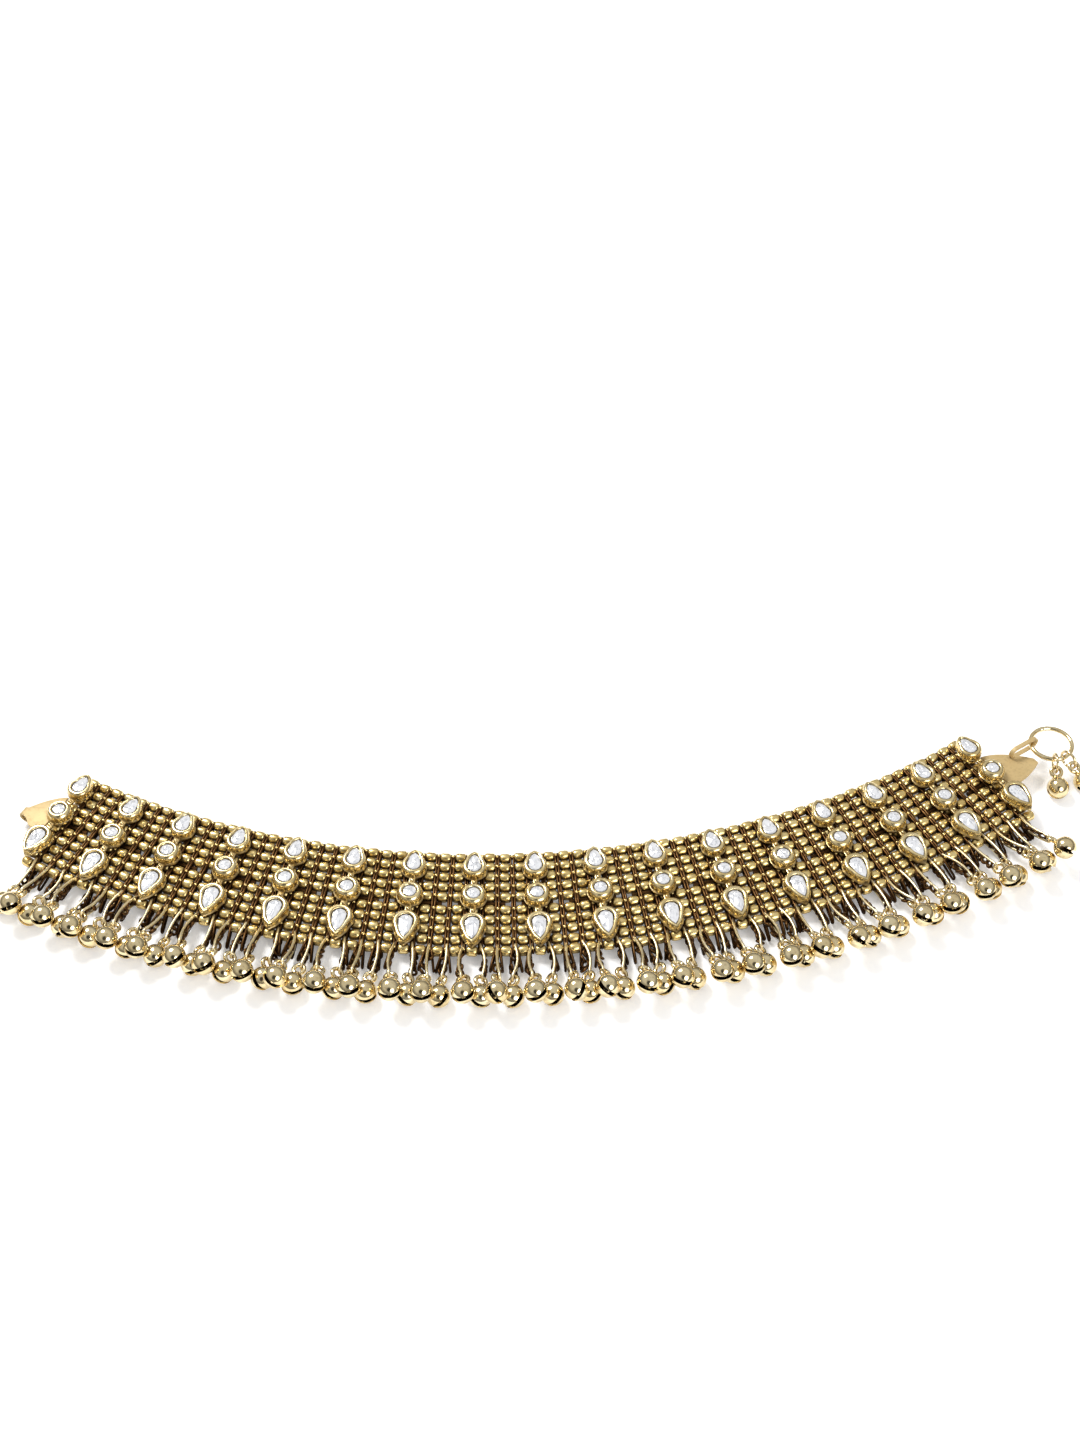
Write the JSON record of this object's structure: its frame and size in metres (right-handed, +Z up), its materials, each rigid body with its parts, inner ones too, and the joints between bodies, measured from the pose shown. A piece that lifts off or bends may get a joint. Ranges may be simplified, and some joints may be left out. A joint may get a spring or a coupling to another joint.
{
  "type": "ghungroo anklet",
  "caption": "Ball chain anklet strap with stone motifs, a fringe of jingle bells, and end plates with a hook and a ring clasp.",
  "frame": {"origin": "under the middle of the anklet as it lies flat, on the surface that it lies on", "axes": "+X along the strap towards the clasp ring, +Y from the bells towards the upper edge, +Z up out of the stones"},
  "size_m": [0.235, 0.0662, 0.0082],
  "materials": {
    "bead_gold": "antique gold plate, bright on the crowns and dark brown between the beads",
    "setting_gold": "antique gold plate, rubbed bright along the bezel lips, dark in the milling",
    "bell_gold": "polished pale gold plate",
    "plate_gold": "matt tan gold plate on sheet brass",
    "pellet_steel": "bare steel shot",
    "clear_stone": "clear faceted glass with a silver foil back"
  },
  "bodies": {
    "strap_01": {"bead_panel_01": "bead_gold", "motif_01": "setting_gold", "left_end_plate": "plate_gold"},
    "fringe_01": {"bell_row_01": "bell_gold"},
    "strap_02": {"bead_panel_02": "bead_gold", "motif_02": "setting_gold"},
    "fringe_02": {"bell_row_02": "bell_gold"},
    "strap_03": {"bead_panel_03": "bead_gold", "motif_03": "setting_gold"},
    "fringe_03": {"bell_row_03": "bell_gold"},
    "strap_04": {"bead_panel_04": "bead_gold", "motif_04": "setting_gold"},
    "fringe_04": {"bell_row_04": "bell_gold"},
    "strap_05": {"bead_panel_05": "bead_gold", "motif_05": "setting_gold"},
    "fringe_05": {"bell_row_05": "bell_gold"},
    "strap_06": {"bead_panel_06": "bead_gold", "motif_06": "setting_gold"},
    "fringe_06": {"bell_row_06": "bell_gold"},
    "strap_07": {"bead_panel_07": "bead_gold", "motif_07": "setting_gold"},
    "fringe_07": {"bell_row_07": "bell_gold"},
    "strap_08": {"bead_panel_08": "bead_gold", "motif_08": "setting_gold"},
    "fringe_08": {"bell_row_08": "bell_gold"},
    "strap_09": {"bead_panel_09": "bead_gold", "motif_09": "setting_gold"},
    "fringe_09": {"bell_row_09": "bell_gold"},
    "strap_10": {"bead_panel_10": "bead_gold", "motif_10": "setting_gold"},
    "fringe_10": {"bell_row_10": "bell_gold"},
    "strap_11": {"bead_panel_11": "bead_gold", "motif_11": "setting_gold"},
    "fringe_11": {"bell_row_11": "bell_gold"},
    "strap_12": {"bead_panel_12": "bead_gold", "motif_12": "setting_gold"},
    "fringe_12": {"bell_row_12": "bell_gold"},
    "strap_13": {"bead_panel_13": "bead_gold", "motif_13": "setting_gold"},
    "fringe_13": {"bell_row_13": "bell_gold"},
    "strap_14": {"bead_panel_14": "bead_gold", "motif_14": "setting_gold"},
    "fringe_14": {"bell_row_14": "bell_gold"},
    "strap_15": {"bead_panel_15": "bead_gold", "motif_15": "setting_gold"},
    "fringe_15": {"bell_row_15": "bell_gold"},
    "strap_16": {"bead_panel_16": "bead_gold", "motif_16": "setting_gold"},
    "fringe_16": {"bell_row_16": "bell_gold"},
    "strap_17": {"bead_panel_17": "bead_gold", "motif_17": "setting_gold", "right_end_plate": "plate_gold"},
    "fringe_17": {"bell_row_17": "bell_gold"},
    "clasp_ring": {"clasp_ring": "bell_gold"},
    "jump_ring_1": {"jump_ring_1": "bell_gold"},
    "jump_ring_2": {"jump_ring_2": "bell_gold"},
    "end_bell_1": {"end_bell_1": "bell_gold"},
    "end_bell_2": {"end_bell_2": "bell_gold"},
    "end_pellet_1": {"end_pellet_1": "pellet_steel"},
    "end_pellet_2": {"end_pellet_2": "pellet_steel"}
  },
  "joints": [
    {"name": "strap_bend_01", "type": "hinge", "parent": "strap_02", "child": "strap_01", "pos_m": [-0.0982, 0.01655, 0.0019], "axis": [-0.4677, -0.8839, 0], "range_deg": [-18, 18]},
    {"name": "strap_bend_02", "type": "hinge", "parent": "strap_03", "child": "strap_02", "pos_m": [-0.0864, 0.0108, 0.0019], "axis": [-0.4084, -0.9128, 0], "range_deg": [-18, 18]},
    {"name": "strap_bend_03", "type": "hinge", "parent": "strap_04", "child": "strap_03", "pos_m": [-0.07424, 0.00583, 0.0019], "axis": [-0.3474, -0.9377, 0], "range_deg": [-18, 18]},
    {"name": "strap_bend_04", "type": "hinge", "parent": "strap_05", "child": "strap_04", "pos_m": [-0.06179, 0.00168, 0.0019], "axis": [-0.2848, -0.9586, 0], "range_deg": [-18, 18]},
    {"name": "strap_bend_05", "type": "hinge", "parent": "strap_06", "child": "strap_05", "pos_m": [-0.04909, -0.00164, 0.0019], "axis": [-0.2209, -0.9753, 0], "range_deg": [-18, 18]},
    {"name": "strap_bend_06", "type": "hinge", "parent": "strap_07", "child": "strap_06", "pos_m": [-0.03619, -0.00412, 0.0019], "axis": [-0.1561, -0.9877, 0], "range_deg": [-18, 18]},
    {"name": "strap_bend_07", "type": "hinge", "parent": "strap_08", "child": "strap_07", "pos_m": [-0.02317, -0.00574, 0.0019], "axis": [-0.0906, -0.9959, 0], "range_deg": [-18, 18]},
    {"name": "strap_bend_08", "type": "hinge", "parent": "strap_09", "child": "strap_08", "pos_m": [-0.01006, -0.0065, 0.0019], "axis": [-0.0248, -0.9997, 0], "range_deg": [-18, 18]},
    {"name": "strap_bend_09", "type": "hinge", "parent": "strap_09", "child": "strap_10", "pos_m": [-0.0002, -0.0065, 0.0019], "axis": [-0.0248, 0.9997, 0], "range_deg": [-18, 18]},
    {"name": "strap_bend_10", "type": "hinge", "parent": "strap_10", "child": "strap_11", "pos_m": [0.0129, -0.00574, 0.0019], "axis": [-0.0906, 0.9959, 0], "range_deg": [-18, 18]},
    {"name": "strap_bend_11", "type": "hinge", "parent": "strap_11", "child": "strap_12", "pos_m": [0.02593, -0.00412, 0.0019], "axis": [-0.1561, 0.9877, 0], "range_deg": [-18, 18]},
    {"name": "strap_bend_12", "type": "hinge", "parent": "strap_12", "child": "strap_13", "pos_m": [0.03883, -0.00164, 0.0019], "axis": [-0.2209, 0.9753, 0], "range_deg": [-18, 18]},
    {"name": "strap_bend_13", "type": "hinge", "parent": "strap_13", "child": "strap_14", "pos_m": [0.05153, 0.00168, 0.0019], "axis": [-0.2848, 0.9586, 0], "range_deg": [-18, 18]},
    {"name": "strap_bend_14", "type": "hinge", "parent": "strap_14", "child": "strap_15", "pos_m": [0.06398, 0.00583, 0.0019], "axis": [-0.3474, 0.9377, 0], "range_deg": [-18, 18]},
    {"name": "strap_bend_15", "type": "hinge", "parent": "strap_15", "child": "strap_16", "pos_m": [0.07614, 0.0108, 0.0019], "axis": [-0.4084, 0.9128, 0], "range_deg": [-18, 18]},
    {"name": "strap_bend_16", "type": "hinge", "parent": "strap_16", "child": "strap_17", "pos_m": [0.08794, 0.01655, 0.0019], "axis": [-0.4677, 0.8839, 0], "range_deg": [-18, 18]},
    {"name": "bell_swing_01", "type": "hinge", "parent": "strap_01", "child": "fringe_01", "pos_m": [-0.11126, 0.01043, 0.0019], "axis": [-0.8638, 0.5038, 0], "range_deg": [-90, 90]},
    {"name": "bell_swing_02", "type": "hinge", "parent": "strap_02", "child": "fringe_02", "pos_m": [-0.09903, 0.00383, 0.0019], "axis": [-0.8952, 0.4457, 0], "range_deg": [-90, 90]},
    {"name": "bell_swing_03", "type": "hinge", "parent": "strap_03", "child": "fringe_03", "pos_m": [-0.08639, -0.00196, 0.0019], "axis": [-0.9226, 0.3857, 0], "range_deg": [-90, 90]},
    {"name": "bell_swing_04", "type": "hinge", "parent": "strap_04", "child": "fringe_04", "pos_m": [-0.07339, -0.00689, 0.0019], "axis": [-0.946, 0.324, 0], "range_deg": [-90, 90]},
    {"name": "bell_swing_05", "type": "hinge", "parent": "strap_05", "child": "fringe_05", "pos_m": [-0.0601, -0.01096, 0.0019], "axis": [-0.9654, 0.2609, 0], "range_deg": [-90, 90]},
    {"name": "bell_swing_06", "type": "hinge", "parent": "strap_06", "child": "fringe_06", "pos_m": [-0.04657, -0.01414, 0.0019], "axis": [-0.9805, 0.1967, 0], "range_deg": [-90, 90]},
    {"name": "bell_swing_07", "type": "hinge", "parent": "strap_07", "child": "fringe_07", "pos_m": [-0.03286, -0.01642, 0.0019], "axis": [-0.9913, 0.1316, 0], "range_deg": [-90, 90]},
    {"name": "bell_swing_08", "type": "hinge", "parent": "strap_08", "child": "fringe_08", "pos_m": [-0.01902, -0.0178, 0.0019], "axis": [-0.9978, 0.0659, 0], "range_deg": [-90, 90]},
    {"name": "bell_swing_09", "type": "hinge", "parent": "strap_09", "child": "fringe_09", "pos_m": [-0.00513, -0.01826, 0.0019], "axis": [-1, 0, 0], "range_deg": [-90, 90]},
    {"name": "bell_swing_10", "type": "hinge", "parent": "strap_10", "child": "fringe_10", "pos_m": [0.00876, -0.0178, 0.0019], "axis": [-0.9978, -0.0659, 0], "range_deg": [-90, 90]},
    {"name": "bell_swing_11", "type": "hinge", "parent": "strap_11", "child": "fringe_11", "pos_m": [0.0226, -0.01642, 0.0019], "axis": [-0.9913, -0.1316, 0], "range_deg": [-90, 90]},
    {"name": "bell_swing_12", "type": "hinge", "parent": "strap_12", "child": "fringe_12", "pos_m": [0.03631, -0.01414, 0.0019], "axis": [-0.9805, -0.1967, 0], "range_deg": [-90, 90]},
    {"name": "bell_swing_13", "type": "hinge", "parent": "strap_13", "child": "fringe_13", "pos_m": [0.04984, -0.01096, 0.0019], "axis": [-0.9654, -0.2609, 0], "range_deg": [-90, 90]},
    {"name": "bell_swing_14", "type": "hinge", "parent": "strap_14", "child": "fringe_14", "pos_m": [0.06313, -0.00689, 0.0019], "axis": [-0.946, -0.324, 0], "range_deg": [-90, 90]},
    {"name": "bell_swing_15", "type": "hinge", "parent": "strap_15", "child": "fringe_15", "pos_m": [0.07613, -0.00196, 0.0019], "axis": [-0.9226, -0.3857, 0], "range_deg": [-90, 90]},
    {"name": "bell_swing_16", "type": "hinge", "parent": "strap_16", "child": "fringe_16", "pos_m": [0.08877, 0.00383, 0.0019], "axis": [-0.8952, -0.4457, 0], "range_deg": [-90, 90]},
    {"name": "bell_swing_17", "type": "hinge", "parent": "strap_17", "child": "fringe_17", "pos_m": [0.101, 0.01043, 0.0019], "axis": [-0.8638, -0.5038, 0], "range_deg": [-90, 90]},
    {"name": "clasp_ring_swing", "type": "hinge", "parent": "strap_17", "child": "clasp_ring", "pos_m": [0.10504, 0.02838, 0.0048], "axis": [-0.0654, -0.9979, 0], "range_deg": [-40, 80]},
    {"name": "jump_ring_1_swing", "type": "hinge", "parent": "clasp_ring", "child": "jump_ring_1", "pos_m": [0.10932, 0.02359, 0.0048], "axis": [-0.9988, 0.048, 0], "range_deg": [-60, 60]},
    {"name": "end_bell_1_swing", "type": "hinge", "parent": "jump_ring_1", "child": "end_bell_1", "pos_m": [0.10928, 0.02276, 0.00447], "axis": [-0.9988, 0.048, 0], "range_deg": [-45, 45]},
    {"name": "end_pellet_1_roll", "type": "slide", "parent": "end_bell_1", "child": "end_pellet_1", "axis": [-0.0176, -0.366, 0.9305], "range_m": [-0.0001, 0.0018]},
    {"name": "jump_ring_2_swing", "type": "hinge", "parent": "clasp_ring", "child": "jump_ring_2", "pos_m": [0.11194, 0.02428, 0.0048], "axis": [0.8457, 0.5336, 0], "range_deg": [-60, 60]},
    {"name": "end_bell_2_swing", "type": "hinge", "parent": "jump_ring_2", "child": "end_bell_2", "pos_m": [0.11238, 0.02357, 0.00447], "axis": [0.8457, 0.5336, 0], "range_deg": [-45, 45]},
    {"name": "end_pellet_2_roll", "type": "slide", "parent": "end_bell_2", "child": "end_pellet_2", "axis": [0.1955, -0.3099, 0.9305], "range_m": [-0.0001, 0.0018]}
  ]
}
